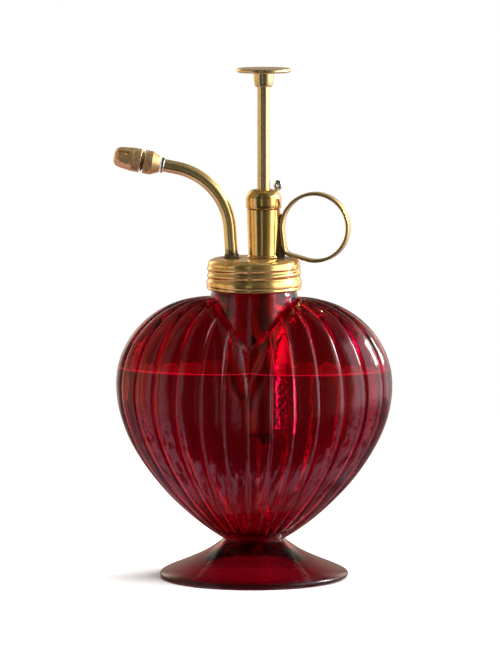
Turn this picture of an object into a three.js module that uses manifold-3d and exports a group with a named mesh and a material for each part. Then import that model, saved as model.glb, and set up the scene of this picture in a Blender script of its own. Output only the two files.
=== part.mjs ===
// Hand mister: a fluted glass heart on a round foot, with a brass screw lid that carries a
// thumb pump, a finger ring and a curved spout.
// Millimetres, +Z up, +X to the right. The origin is on the bottle's axis, on the table.
import * as THREE from 'three';
import { mergeVertices } from 'three/addons/utils/BufferGeometryUtils.js';
import Module from 'manifold-3d';

const wasm = await Module();
wasm.setup();
const rad = THREE.MathUtils.degToRad;

// ---------------------------------------------------------------- driving dimensions

const GAP = 0.3; // clearance between pieces that touch

const HEART = {
  halfWidth: 58.5,
  halfDepth: 31.5,
  widestZ: 81.3, // level of the greatest width
  deepestZ: 72, // level of the greatest depth
  crestZ: 118.6, // top of the lobes
  cleft: 22, // how far the cleft between the lobes drops at the front and the back
  cleftSlope: rad(50), // fall of the glass below the point of the cleft
  flutes: 28,
  fluteDepth: 1,
  wall: 3.2,
  turn: rad(-5.4), // where the lid's thread leaves the heart's front, about Z
};
const WAIST = { radius: 13.1, z: 16.5 };
const NECK = { radius: 18.2, throatRadius: 17.5, bore: 14.8, lipZ: 131.9 };
const FOOT = { rim: 39.9, contact: 38.4, hollowTopZ: 11 };

const THREAD = { pitch: 3, radius: 18.3, height: 0.3, fromZ: 126.2, toZ: 131.4 };
const LID = { bottomZ: 121.7, topZ: 135, radius: 20, sheet: 0.8, slack: 0.35 };

const PUMP = {
  x: 4, // the pump stands beside the bottle's axis
  rod: 2.68,
  bore: 4,
  outer: 4.5,
  footZ: 62.3,
  topZ: 155.6,
  portZ: 72.3, // side port where the delivery tube joins
};
const SLEEVE = { bottom: 6.3, top: 7 };
const CAP = { radius: 7.45, bottomZ: 155.9, topZ: 163.9 };
const KNOB = { ferruleZ: 206.7, discZ: 212.8, topZ: 214.6, radius: 11.4 };
const PISTON = { bottomZ: 145.6, shoulderZ: 151 };

const SPOUT = {
  x: -9.3,
  radius: 2.7,
  bore: 1.5,
  startZ: 128.3, // its lower end, inside the outlet valve
  lean: rad(4),
  stem: 12.6, // straight stretch above the lid
  bend: 27.7,
  nose: rad(79), // the nozzle's angle from upright
  tail: 5.6, // straight stretch behind the nozzle
};
const DELIVERY = { radius: 2.2, bore: 1.5, bend: 16.1, bendZ: 86.8, topZ: 121.2 };
const RING = {
  x: 11.2, // its side towards the pump
  z: 148.1,
  radius: 14.8,
  thickness: 1.4,
  width: 5.2,
  corner: [-13.45, -11.7], // the soldered corner, from the ring's centre
  turn: rad(-13),
};

// ---------------------------------------------------------------- materials

const metal = (color, roughness) => new THREE.MeshStandardMaterial({ color, roughness, metalness: 1 });
const plain = (color, roughness) => new THREE.MeshStandardMaterial({ color, roughness, metalness: 0 });

const polishedBrass = () => metal(0xc9a24a, 0.22);
const agedBrass = () => metal(0x9a7038, 0.35);
const silver = () => metal(0xd6d6d2, 0.25);
const rubyGlass = () => plain(0x6e0618, 0.06);
const rubber = () => plain(0x1c1a1a, 0.7);
const clearPlastic = () => plain(0xe8ece8, 0.25);

// ---------------------------------------------------------------- solids

// A closed mesh as a manifold solid, with its faces turned outward.
function solid(geometry) {
  const bare = geometry.index ? geometry.toNonIndexed() : geometry.clone();
  bare.deleteAttribute('normal');
  bare.deleteAttribute('uv');
  const merged = mergeVertices(bare, 1e-4);
  const p = merged.attributes.position.array;
  const index = Array.from(merged.index.array);
  const triangles = [];
  let volume = 0;
  for (let i = 0; i < index.length; i += 3) {
    const [a, b, c] = [index[i], index[i + 1], index[i + 2]];
    if (a === b || b === c || c === a) continue;
    const [A, B, C] = [a, b, c].map((v) => new THREE.Vector3().fromArray(p, 3 * v));
    volume += A.dot(B.cross(C));
    triangles.push([a, b, c]);
  }
  const facing = volume < 0 ? triangles.map(([a, b, c]) => [a, c, b]) : triangles;
  return new wasm.Manifold(new wasm.Mesh({
    numProp: 3,
    vertProperties: Float32Array.from(p),
    triVerts: Uint32Array.from(facing.flat()),
  }));
}

function geometryOf(manifold) {
  const mesh = manifold.getMesh();
  const geometry = new THREE.BufferGeometry();
  geometry.setAttribute('position', new THREE.BufferAttribute(mesh.vertProperties, 3));
  geometry.setIndex(new THREE.BufferAttribute(mesh.triVerts, 1));
  return geometry;
}

const moved = (geometry, x, y, z) => geometry.clone().translate(x, y, z);

// A solid turned about Z from [radius, z] points that start and end on the axis.
function turned(profile, segments = 24) {
  const points = profile.map(([r, z]) => new THREE.Vector2(r, z));
  return new THREE.LatheGeometry(points, segments).rotateX(Math.PI / 2);
}

// The same for a piece with a hole through it: the profile closes on itself.
const turnedRing = (profile, segments) => turned([...profile, profile[0]], segments);

// A washer or plain tube.
const tube = (inner, outer, z0, z1, segments) =>
  turnedRing([[inner, z0], [outer, z0], [outer, z1], [inner, z1]], segments);

const rod = (radius, z0, z1, segments) => turned([[0, z0], [radius, z0], [radius, z1], [0, z1]], segments);

// A wire or pipe of round section along a curve.
function swept(curve, { radius, hole = 0, sides, count }) {
  const section = new THREE.Shape().absarc(0, 0, radius, 0, 2 * Math.PI, false);
  if (hole > 0) section.holes.push(new THREE.Path().absarc(0, 0, hole, 0, 2 * Math.PI, true));
  const curveSegments = sides / 2; // a round outline gets two points for each
  const options = { steps: count, curveSegments, bevelEnabled: false, extrudePath: curve };
  return new THREE.ExtrudeGeometry(section, options);
}

// A closed skin over a stack of rings, all with the same number of points, from a bottom
// pole to a top pole.
function stacked(bottom, rings, top) {
  const columns = rings[0].length;
  const vertices = [bottom, ...rings.flat(), top];
  const last = vertices.length - 1;
  const at = (ring, column) => 1 + ring * columns + (column % columns);
  const faces = [];
  for (let i = 0; i < columns; i++) {
    faces.push([0, at(0, i + 1), at(0, i)]);
    faces.push([last, at(rings.length - 1, i), at(rings.length - 1, i + 1)]);
    for (let j = 0; j + 1 < rings.length; j++) {
      faces.push([at(j, i), at(j, i + 1), at(j + 1, i + 1)]);
      faces.push([at(j, i), at(j + 1, i + 1), at(j + 1, i)]);
    }
  }
  const geometry = new THREE.BufferGeometry().setFromPoints(vertices);
  geometry.setIndex(faces.flat());
  return geometry;
}

const onAxis = (z) => new THREE.Vector3(0, 0, z);

function circle(radiusAt, z, columns) {
  return Array.from({ length: columns }, (_, i) => {
    const angle = (2 * Math.PI * i) / columns;
    const radius = radiusAt(z, angle);
    return new THREE.Vector3(radius * Math.cos(angle), radius * Math.sin(angle), z);
  });
}

function steps(from, to, count) {
  return Array.from({ length: count + 1 }, (_, i) => from + ((to - from) * i) / count);
}

// ---------------------------------------------------------------- the heart's surface

// A meridian runs from the waist (s = -1) over the widest level (s = 0) to the neck
// (s = 1), at the parameter t of the oval section: 0 is the right side, 90 degrees the back.
const SIDE_HANDLES = [[HEART.halfWidth, 54.2], [33.2, 28.2]];
const FRONT_HANDLES = [[HEART.halfDepth, 48], [24.5, 26]];

function lowerMeridian(t) {
  const side = [[HEART.halfWidth, HEART.widestZ], ...SIDE_HANDLES, [WAIST.radius, WAIST.z]];
  const front = [[HEART.halfDepth, HEART.deepestZ], ...FRONT_HANDLES, [WAIST.radius, WAIST.z]];
  const points = side.map(([width, z], i) => {
    const [depth, frontZ] = front[i];
    const level = THREE.MathUtils.lerp(z, frontZ, Math.sin(t) ** 2);
    return new THREE.Vector3(width * Math.cos(t), depth * Math.sin(t), level);
  });
  return new THREE.CubicBezierCurve3(...points);
}

// Where a meridian meets the neck. The meridians crowd towards the sides there, and the
// meeting line drops to a point at the front and the back.
function neckPoint(t, radius) {
  const across = 1 - (1 - Math.abs(Math.cos(t))) ** 2.5;
  const x = across * Math.sign(Math.cos(t));
  const y = Math.sqrt(1 - across ** 2) * Math.sign(Math.sin(t));
  const tipRounding = 0.08;
  const drop = HEART.cleft * Math.max(0, 1 - Math.hypot(across, tipRounding)) ** 1.2;
  return { point: new THREE.Vector3(radius * x, radius * y, HEART.crestZ - drop), across };
}

function upperMeridian(t, radius) {
  const widest = lowerMeridian(t).v0;
  const { point, across } = neckPoint(t, radius);
  const outward = new THREE.Vector3(widest.x - point.x, widest.y - point.y, 0);
  const reach = 0.583 * outward.length(); // with these two shares the side lobes are round
  const rise = 0.548 * (point.z - widest.z);
  outward.setLength(reach);
  outward.z = -reach * Math.tan(HEART.cleftSlope * (1 - across));
  const leaving = point.clone().add(outward);
  const arriving = widest.clone().setZ(widest.z + rise);
  return new THREE.CubicBezierCurve3(widest, arriving, leaving, point);
}

function heartPoint(t, s) {
  const insideNeck = NECK.radius - 1.2;
  return s < 0 ? lowerMeridian(t).getPoint(-s) : upperMeridian(t, insideNeck).getPoint(s);
}

function heartNormal(t, s) {
  const d = 1e-3;
  const inner = THREE.MathUtils.clamp(s, -1 + d, 1 - d);
  const around = heartPoint(t + d, inner).sub(heartPoint(t - d, inner));
  const up = heartPoint(t, inner + d).sub(heartPoint(t, inner - d));
  return around.cross(up).normalize();
}

// Values of t an even distance apart round the oval, starting at the right side.
function evenAngles(count) {
  const fine = 4000;
  const speed = (t) => Math.hypot(HEART.halfWidth * Math.sin(t), HEART.halfDepth * Math.cos(t));
  const lengths = [0];
  for (let i = 1; i <= fine; i++) lengths.push(lengths[i - 1] + speed((2 * Math.PI * (i - 0.5)) / fine));
  const whole = lengths[fine];
  return Array.from({ length: count }, (_, k) => {
    const index = lengths.findIndex((length) => length >= (whole * k) / count);
    return (2 * Math.PI * index) / fine;
  });
}

// A ring of the heart's skin, moved in by so much at each column.
function heartRing(angles, s, inset) {
  return angles.map((t, i) => heartPoint(t, s).addScaledVector(heartNormal(t, s), -inset(i)));
}

// ---------------------------------------------------------------- the screw thread

// One rolled wave: the glass thread and the lid's sheet share it.
function threadWave(z, angle) {
  const { pitch, height, fromZ, toZ } = THREAD;
  const into = Math.min(z - fromZ, toZ - z);
  const fade = THREE.MathUtils.smoothstep(into, -0.5, 0.5);
  return fade * height * Math.cos(2 * Math.PI * (z / pitch) - angle);
}

// ---------------------------------------------------------------- the bottle

function bottleGeometry() {
  const perFlute = 3; // a groove and the two edges of its flat
  const angles = evenAngles(HEART.flutes * perFlute);
  const rows = [...steps(-1, 0, 6), ...steps(0, 1, 6).slice(1)];
  const groove = (s) => (column) => (column % perFlute ? 0 : HEART.fluteDepth * (1 - s ** 8));
  const skin = rows.map((s) => heartRing(angles, s, groove(s)));
  const heart = stacked(onAxis(WAIST.z - 1.5), skin, onAxis(104));

  const neckRadius = (z, angle) => {
    if (z < NECK.lipZ && z > THREAD.fromZ - 0.5) {
      return THREAD.radius + threadWave(z, angle + HEART.turn);
    }
    return z > 121 ? NECK.throatRadius : NECK.radius - (118.6 - z) * 0.03;
  };
  const neckLevels = [90, 118.6, 122, 125.4, ...steps(126, 131.4, 8), NECK.lipZ];
  const neckRings = neckLevels.map((z) => circle(neckRadius, z, 36));
  const neck = stacked(onAxis(90), neckRings, onAxis(NECK.lipZ));

  const foot = turned([
    [0, FOOT.hollowTopZ], [8, 10.3], [16, 8], [26, 4.6], [35.6, 1.1], [36.6, 0], [FOOT.contact, 0],
    [FOOT.rim, 1.5], [38.9, 2.8], [33.8, 5.3], [27, 7.9], [21.5, 10.8], [15.6, 13.9],
    [13.4, 16.2], [12.2, 17.4], [0, 17.4],
  ], 36);

  const innerAngles = evenAngles(28);
  const innerRows = [-0.9, -0.7, -0.45, -0.2, 0.1, 0.35, 0.65, 0.95];
  const inset = () => HEART.wall + HEART.fluteDepth;
  const liningRings = innerRows.map((s) => heartRing(innerAngles, s, inset));
  const lining = stacked(onAxis(21.5), liningRings, onAxis(108));
  const bore = rod(NECK.bore, 93, NECK.lipZ + 1, 32);

  const glass = solid(heart).add(solid(neck)).add(solid(foot));
  return geometryOf(glass.subtract(solid(lining)).subtract(solid(bore)));
}

// ---------------------------------------------------------------- the lid

function lidGeometry() {
  const columns = 36;
  const sheetTop = LID.topZ - 1.2;
  const threadInside = THREAD.radius + LID.slack;
  const levels = steps(THREAD.fromZ, THREAD.toZ, 8);
  const round = (radius, z) => circle(() => radius, z, columns);
  const wave = (radius) => (z) => circle((level, angle) => radius + threadWave(level, angle), z, columns);

  const inside = [
    ...[[16.6, sheetTop], [17.8, 132.9], [18.3, 132.1]].map(([r, z]) => round(r, z)),
    ...levels.toReversed().map(wave(threadInside)),
    ...[[18.95, 125.4], [19.2, 124.3], [19, 122.9], [18.9, 122]].map(([r, z]) => round(r, z)),
  ];
  const outside = [
    ...[[19.2, LID.bottomZ], [19.6, 122], [19.95, 123], [LID.radius, 124.3], [19.8, 125.3]]
      .map(([r, z]) => round(r, z)),
    ...levels.map(wave(threadInside + LID.sheet)),
    ...[[19.2, 132.3], [18.7, 133.4], [16.6, 134.5], [13, LID.topZ]].map(([r, z]) => round(r, z)),
  ];
  const shell = stacked(onAxis(sheetTop), [...inside, ...outside], onAxis(LID.topZ));
  const pumpHole = moved(rod(PUMP.outer + GAP, 130, 138, 24), PUMP.x, 0, 0);
  const spoutHole = moved(rod(SPOUT.radius + GAP, 130, 138, 20), SPOUT.x, 0, 0);
  return geometryOf(solid(shell).subtract(solid(pumpHole)).subtract(solid(spoutHole)));
}

// ---------------------------------------------------------------- the pump

const sleeveProfile = [
  [PUMP.outer + GAP, LID.topZ + GAP], [SLEEVE.bottom, LID.topZ + GAP], [SLEEVE.top, PUMP.topZ],
  [PUMP.outer + GAP, PUMP.topZ],
];

function cylinderGeometry() {
  const barrel = tube(PUMP.bore, PUMP.outer, PUMP.footZ, PUMP.topZ, 20);
  const port = moved(rod(DELIVERY.bore, -8, 0, 12).rotateY(Math.PI / 2), 0, 0, PUMP.portZ);
  return geometryOf(solid(barrel).subtract(solid(port)));
}

const LOCK_PIN = { x: 6, y: 1.8, wire: 0.5, eye: 1.15, eyeZ: 165.35, footZ: 160.9 };

function capGeometry() {
  const shell = turnedRing([
    [PUMP.rod + GAP, CAP.topZ], [3.8, CAP.topZ], [5.6, 163.2], [6.9, 161.9], [CAP.radius, 160.4],
    [CAP.radius, CAP.bottomZ], [5.4, CAP.bottomZ], [5.4, 158.9], [PUMP.rod + GAP, 158.9],
  ], 24);
  const pinHole = rod(LOCK_PIN.wire + GAP, LOCK_PIN.footZ - GAP, CAP.topZ, 12);
  return geometryOf(solid(shell).subtract(solid(moved(pinHole, LOCK_PIN.x, LOCK_PIN.y, 0))));
}

function lockPinGeometry() {
  const eye = new THREE.TorusGeometry(LOCK_PIN.eye, LOCK_PIN.wire, 6, 14).rotateX(Math.PI / 2);
  const stem = rod(LOCK_PIN.wire, LOCK_PIN.footZ, LOCK_PIN.eyeZ - LOCK_PIN.eye, 8);
  const pin = solid(moved(eye, 0, 0, LOCK_PIN.eyeZ)).add(solid(stem));
  return geometryOf(pin).translate(LOCK_PIN.x, LOCK_PIN.y, 0);
}

const VALVE = {
  flangeZ: 61, // underside of the flange that closes the pump
  nippleZ: 58,
  topZ: 67.4,
  seatZ: 63.8,
  bore: 0.8,
  chamber: 1.7,
  ball: 1.2,
  ballZ: 64.96,
};

const valveBodyProfile = [
  [VALVE.bore, VALVE.nippleZ], [1.5, VALVE.nippleZ], [1.5, VALVE.flangeZ], [PUMP.outer, VALVE.flangeZ],
  [PUMP.outer, PUMP.footZ - GAP], [PUMP.bore - GAP, PUMP.footZ - GAP], [PUMP.bore - GAP, VALVE.topZ],
  [VALVE.chamber, VALVE.topZ], [VALVE.chamber, 64.9], [VALVE.bore, VALVE.seatZ],
];

const SPRING = { turns: 12, radius: 3.1, wire: 0.35, fromZ: 69.3, toZ: 144.9 };

class Helix extends THREE.Curve {
  getPoint(u, target = new THREE.Vector3()) {
    const angle = 2 * Math.PI * SPRING.turns * u;
    const z = THREE.MathUtils.lerp(SPRING.fromZ, SPRING.toZ, u);
    return target.set(SPRING.radius * Math.cos(angle), SPRING.radius * Math.sin(angle), z);
  }
}

const OUTLET = { radius: 3.4, fromZ: 119, toZ: 131.6, chamber: 2.15, ball: 1.7, ballZ: 124.7 };

const outletProfile = [
  [DELIVERY.radius + GAP, OUTLET.fromZ], [OUTLET.radius, OUTLET.fromZ], [OUTLET.radius, OUTLET.toZ],
  [SPOUT.radius + GAP, OUTLET.toZ], [SPOUT.radius + GAP, SPOUT.startZ - GAP],
  [OUTLET.chamber, SPOUT.startZ - GAP], [OUTLET.chamber, 124.4], [1, 123], [1, DELIVERY.topZ + GAP],
  [DELIVERY.radius + GAP, DELIVERY.topZ + GAP],
];

// The delivery tube hangs from the outlet valve and bends to the pump's side port.
function deliveryGeometry() {
  const centre = new THREE.Vector3(SPOUT.x + DELIVERY.bend, 0, DELIVERY.bendZ);
  const bend = new THREE.Curve();
  bend.getPoint = (u, target = new THREE.Vector3()) => {
    const angle = THREE.MathUtils.lerp(rad(70), 0, u);
    const [x, z] = [-DELIVERY.bend * Math.cos(angle), -DELIVERY.bend * Math.sin(angle)];
    return target.set(x, 0, z).add(centre);
  };
  const route = new THREE.CurvePath();
  route.add(bend);
  route.add(new THREE.LineCurve3(bend.getPoint(1), new THREE.Vector3(SPOUT.x, 0, DELIVERY.topZ)));
  const pipe = swept(route, { radius: DELIVERY.radius, hole: DELIVERY.bore, sides: 8, count: 12 });
  const pumpSide = moved(rod(PUMP.outer + GAP, 60, 90, 24), PUMP.x, 0, 0);
  return geometryOf(solid(pipe).subtract(solid(pumpSide)));
}

// ---------------------------------------------------------------- the spout and its nozzle

function spoutPath() {
  const { x, lean, nose, bend } = SPOUT;
  const along = (angle) => new THREE.Vector3(-Math.sin(angle), 0, Math.cos(angle));
  const lidTop = new THREE.Vector3(x, 0, LID.topZ);
  const stemTop = lidTop.clone().addScaledVector(along(lean), SPOUT.stem);
  const centre = stemTop.clone().add(new THREE.Vector3(-bend * Math.cos(lean), 0, -bend * Math.sin(lean)));
  const arc = new THREE.Curve();
  arc.getPoint = (u, target = new THREE.Vector3()) => {
    const angle = THREE.MathUtils.lerp(lean, nose, u);
    return target.set(bend * Math.cos(angle), 0, bend * Math.sin(angle)).add(centre);
  };
  const arcEnd = arc.getPoint(1);
  const end = arcEnd.clone().addScaledVector(along(nose), SPOUT.tail);
  const route = new THREE.CurvePath();
  route.add(new THREE.LineCurve3(new THREE.Vector3(x, 0, SPOUT.startZ), lidTop));
  route.add(new THREE.LineCurve3(lidTop, stemTop));
  route.add(arc);
  route.add(new THREE.LineCurve3(arcEnd, end));
  return { route, end, direction: along(nose) };
}

// Nozzle lengths run along its own axis from the spout's end.
const NOZZLE = { radius: 4.95, cone: 1.3, ring: 4.8, groove: 8.3, cap: 9.7, tip: 21, spigot: 3.4 };

const nozzleBaseProfile = [
  [1.5, NOZZLE.cone], [2.85, NOZZLE.cone], [NOZZLE.radius, NOZZLE.ring], [NOZZLE.radius, NOZZLE.groove],
  [NOZZLE.spigot, NOZZLE.groove], [NOZZLE.spigot, 14.8], [2.4, 14.8], [2.4, 12.4], [1.5, 12.4],
];

const nozzleCapProfile = [
  [NOZZLE.spigot + GAP, NOZZLE.cap], [NOZZLE.radius, NOZZLE.cap], [NOZZLE.radius, 13.6], [4.3, 15.8],
  [4.3, 19], [3.7, 20.3], [2.7, NOZZLE.tip], [0.5, NOZZLE.tip], [0.5, 19.7], [2.5, 18.8], [2.5, 16.2],
  [NOZZLE.spigot + GAP, 16.2],
];

const swirlProfile = [[0, 12.9], [1.9, 12.9], [1.9, 17], [2.2, 17], [2.2, 18.4], [0, 18.4]];

// ---------------------------------------------------------------- the finger ring

// A strip bent to a circle, whose two ends run on to one corner beside the pump.
function ringOutline(path, scale) {
  const [x, z] = RING.corner.map((v) => v * scale);
  const radius = RING.radius * scale;
  const toCorner = Math.atan2(z, x);
  const spread = Math.acos(radius / Math.hypot(x, z));
  path.moveTo(x, z);
  path.absarc(0, 0, radius, toCorner + spread, toCorner - spread + 2 * Math.PI, false);
  path.closePath();
  return path;
}

function fingerRingGeometry() {
  const outline = ringOutline(new THREE.Shape(), 1);
  outline.holes.push(ringOutline(new THREE.Path(), 1 - RING.thickness / RING.radius));
  const options = { depth: RING.width, bevelEnabled: false, curveSegments: 20 };
  const strip = new THREE.ExtrudeGeometry(outline, options).rotateX(Math.PI / 2);
  return strip.translate(RING.radius, RING.width / 2, 0);
}

// ---------------------------------------------------------------- assembly

const mister = new THREE.Group();
const head = new THREE.Group(); // all that the lid carries
const pump = new THREE.Group();
pump.position.x = PUMP.x;
head.add(pump);
mister.add(head);

function part(group, name, geometry, material) {
  const mesh = new THREE.Mesh(geometry, material);
  mesh.name = name;
  group.add(mesh);
  return mesh;
}

part(mister, 'bottle', bottleGeometry(), rubyGlass()).rotation.z = HEART.turn;
part(mister, 'lid_gasket', tube(13.2, 16.3, NECK.lipZ + GAP, LID.topZ - 1.2 - GAP, 32), rubber());
part(head, 'screw_lid', lidGeometry(), polishedBrass());

part(pump, 'pump_sleeve', turnedRing(sleeveProfile, 24), polishedBrass());
part(pump, 'pump_cylinder', cylinderGeometry(), agedBrass());
part(pump, 'pump_cap', capGeometry(), polishedBrass());
part(pump, 'cap_lock_pin', lockPinGeometry(), silver());
part(pump, 'rod_seal', tube(PUMP.rod + GAP, 5.1, 155.9, 158.6, 16), rubber());
part(pump, 'valve_body', turnedRing(valveBodyProfile, 16), agedBrass());
part(pump, 'inlet_ball', moved(new THREE.SphereGeometry(VALVE.ball, 8, 6), 0, 0, VALVE.ballZ), silver());
part(pump, 'spring_seat', tube(0.9, PUMP.bore - GAP, VALVE.topZ + GAP, 68.6, 20), agedBrass());
const springWire = { radius: SPRING.wire, sides: 4, count: SPRING.turns * 6 };
part(pump, 'return_spring', swept(new Helix(), springWire), silver());
part(pump, 'dip_tube', tube(1.8, 2.5, 24, VALVE.flangeZ - GAP, 16), clearPlastic());

const stud = 1.5; // the rod's thin lower end, which holds the piston
const rodProfile = [
  [0, 146], [stud, 146], [stud, PISTON.shoulderZ], [PUMP.rod, PISTON.shoulderZ],
  [PUMP.rod, KNOB.discZ - 0.4], [0, KNOB.discZ - 0.4],
];
const ferruleProfile = [
  [PUMP.rod + GAP, KNOB.ferruleZ], [3.3, KNOB.ferruleZ], [3.9, 207.5], [4.05, 209], [4.2, 211],
  [4.2, KNOB.discZ - GAP], [PUMP.rod + GAP, KNOB.discZ - GAP],
];
const discProfile = [
  [0, KNOB.discZ], [10.8, KNOB.discZ], [KNOB.radius, 213.3], [KNOB.radius, 214.1],
  [10.9, KNOB.topZ], [0, KNOB.topZ],
];
const cupProfile = [[stud + GAP, 148.1], [3.75, 148.1], [3.6, 150.7], [stud + GAP, 150.7]];
part(pump, 'plunger_rod', turned(rodProfile, 24), polishedBrass());
part(pump, 'knob_ferrule', turnedRing(ferruleProfile, 20), polishedBrass());
part(pump, 'thumb_disc', turned(discProfile, 32), polishedBrass());
part(pump, 'piston', tube(stud + GAP, 3.6, PISTON.bottomZ, 147.8, 16), agedBrass());
part(pump, 'piston_cup', turnedRing(cupProfile, 16), rubber());

const spout = spoutPath();
const outlet = new THREE.Group();
outlet.position.x = SPOUT.x;
head.add(outlet);
const filletProfile = [[SPOUT.radius + GAP, 135.3], [4.3, 135.3], [3.3, 136.6], [SPOUT.radius + GAP, 136.6]];
const spoutPipe = { radius: SPOUT.radius, hole: SPOUT.bore, sides: 10, count: 24 };
part(head, 'spout_tube', swept(spout.route, spoutPipe), polishedBrass());
part(outlet, 'spout_solder', turnedRing(filletProfile, 20), agedBrass());
part(outlet, 'outlet_valve_body', turnedRing(outletProfile, 16), agedBrass());
part(outlet, 'outlet_ball', moved(new THREE.SphereGeometry(OUTLET.ball, 8, 6), 0, 0, OUTLET.ballZ), silver());
part(head, 'delivery_tube', deliveryGeometry(), agedBrass());

const nozzle = new THREE.Group();
nozzle.position.copy(spout.end);
nozzle.rotation.y = -SPOUT.nose;
head.add(nozzle);
part(nozzle, 'nozzle_solder', tube(SPOUT.radius + GAP, 3.25, -0.9, 0.9, 20), silver());
part(nozzle, 'nozzle_base', turnedRing(nozzleBaseProfile, 20), agedBrass());
part(nozzle, 'nozzle_washer', tube(NOZZLE.spigot + GAP, 4.2, 8.6, 9.4, 20), rubber());
part(nozzle, 'swirl_insert', turned(swirlProfile, 12), agedBrass());
part(nozzle, 'nozzle_cap', turnedRing(nozzleCapProfile, 20), agedBrass());

const ring = part(head, 'finger_ring', fingerRingGeometry(), polishedBrass());
ring.position.set(RING.x, 0, RING.z);
ring.rotation.z = RING.turn;

export default mister;
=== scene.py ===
"""Looks of the hand mister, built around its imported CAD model.

Shapes are worked out in millimetres, as in the CAD, and turned into metres when a mesh is
made. +Z is up, +X is to the right and the camera looks along +Y.
"""

import math

import bpy
import numpy as np
from mathutils import Matrix, Vector, noise

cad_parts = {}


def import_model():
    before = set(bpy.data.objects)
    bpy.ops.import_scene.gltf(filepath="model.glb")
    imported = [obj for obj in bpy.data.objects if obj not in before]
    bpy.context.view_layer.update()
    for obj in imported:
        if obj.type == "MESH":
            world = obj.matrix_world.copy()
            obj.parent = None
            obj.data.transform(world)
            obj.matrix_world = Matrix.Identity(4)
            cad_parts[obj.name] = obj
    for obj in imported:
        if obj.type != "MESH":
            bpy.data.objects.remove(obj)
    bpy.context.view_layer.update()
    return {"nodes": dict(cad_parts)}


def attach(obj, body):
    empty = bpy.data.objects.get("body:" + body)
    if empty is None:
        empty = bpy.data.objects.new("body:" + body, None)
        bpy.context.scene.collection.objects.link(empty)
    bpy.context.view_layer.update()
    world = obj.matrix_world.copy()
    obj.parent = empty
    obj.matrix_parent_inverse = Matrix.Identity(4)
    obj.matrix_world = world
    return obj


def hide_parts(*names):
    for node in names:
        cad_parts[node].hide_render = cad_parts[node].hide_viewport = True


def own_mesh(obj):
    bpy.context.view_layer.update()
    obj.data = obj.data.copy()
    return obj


MM = 0.001
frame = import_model()

# ---------------------------------------------------------------- dimensions, as in the CAD

GAP = 0.3  # between pieces that meet
FULL_TURN = 2 * math.pi

# the bottle and its water
HALF_WIDTH, HALF_DEPTH = 58.5, 31.5
CREST_Z, CLEFT, CLEFT_SLOPE = 118.6, 22.0, math.radians(50)
FLUTES, FLUTE_DEPTH, WALL = 28, 1.0, 3.2
FOLLOW = 0.6  # how far the inside of the glass follows the flutes
TURN = math.radians(-5.4)  # of the heart, about Z
WAIST_RADIUS, WAIST_Z = 13.1, 16.5
NECK_RADIUS, THROAT_RADIUS, BORE_RADIUS, LIP_Z = 18.2, 17.5, 14.8, 131.9
PITCH, THREAD_RADIUS, THREAD_HEIGHT, THREAD_FROM, THREAD_TO = 3.0, 18.3, 0.3, 126.2, 131.4
WATER_Z, CREEP = 87.7, 0.6  # the water's level, and how far its edge creeps up the glass

# the lid and the pump
THREAD_SLACK, LID_SHEET = 0.35, 0.8
LID_UNDER, LID_TOP = 133.8, 135.0
PUMP_X, ROD_RADIUS, PUMP_BORE, PUMP_OUTER, PUMP_FOOT = 4.0, 2.68, 4.0, 4.5, 62.3
AT_PUMP = (PUMP_X, 0)
SLEEVE_BORE, ROD_BORE = PUMP_OUTER + GAP, ROD_RADIUS + GAP
BARREL_TOP = 155.6

# the spout: up a leaning stem, round a bend and out along a straight nose
SPOUT_X, SPOUT_RADIUS, SPOUT_BORE = -9.3, 2.7, 1.5
AT_SPOUT = (SPOUT_X, 0)
SPOUT_START, SPOUT_STEM, SPOUT_BEND, SPOUT_TAIL = 128.3, 12.6, 27.7, 5.6
SPOUT_LEAN, SPOUT_NOSE = math.radians(4), math.radians(79)

# the finger ring, and the corner where its two ends meet, about its centre
RING_X, RING_Z, RING_RADIUS, RING_THICKNESS, RING_WIDTH = 11.2, 148.1, 14.8, 1.4, 5.2
RING_CORNER, RING_TURN = (-13.45, -11.7), math.radians(-13)


# ---------------------------------------------------------------- mesh helpers


def mesh_object(name, points, faces, material, sharp=40.0):
    """A smooth-shaded object from points in millimetres, with its faces turned outward."""
    points = np.asarray(points, float) * MM
    corners = np.array([(f[0], f[i], f[i + 1]) for f in faces for i in range(1, len(f) - 1)])
    a, b, c = (points[corners[:, k]] for k in range(3))
    if np.einsum("ij,ij->", a, np.cross(b, c)) < 0:
        faces = [tuple(reversed(face)) for face in faces]
    mesh = bpy.data.meshes.new(name)
    mesh.from_pydata(points.tolist(), [], faces)
    mesh.update()
    mesh.shade_smooth()
    mesh.set_sharp_from_angle(angle=math.radians(sharp))
    mesh.materials.append(material)
    obj = bpy.data.objects.new(name, mesh)
    bpy.context.scene.collection.objects.link(obj)
    return obj


def skin(rings, start=None, end=None, looped=False):
    """Points and faces of a skin over a stack of rings, closed by poles or onto itself."""
    rings = np.asarray(rings, float)
    rows, columns = rings.shape[:2]
    points = rings.reshape(-1, 3).tolist()
    faces = []
    nxt = [(i + 1) % columns for i in range(columns)]
    for j in range(rows if looped else rows - 1):
        a, b = j * columns, ((j + 1) % rows) * columns
        faces += [(a + i, a + nxt[i], b + nxt[i], b + i) for i in range(columns)]
    if start is not None:
        points.append(list(start))
        pole = len(points) - 1
        faces += [(pole, nxt[i], i) for i in range(columns)]
    if end is not None:
        points.append(list(end))
        pole, a = len(points) - 1, (rows - 1) * columns
        faces += [(pole, a + i, a + nxt[i]) for i in range(columns)]
    return points, faces


def joined(*parts):
    """Several (points, faces) skins as one."""
    points, faces = [], []
    for part_points, part_faces in parts:
        shift = len(points)
        points += [list(p) for p in part_points]
        faces += [tuple(v + shift for v in face) for face in part_faces]
    return points, faces


def placed(part, matrix):
    """A (points, faces) skin moved by a matrix."""
    points, faces = part
    return [list(matrix @ Vector(p)) for p in points], faces


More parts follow.
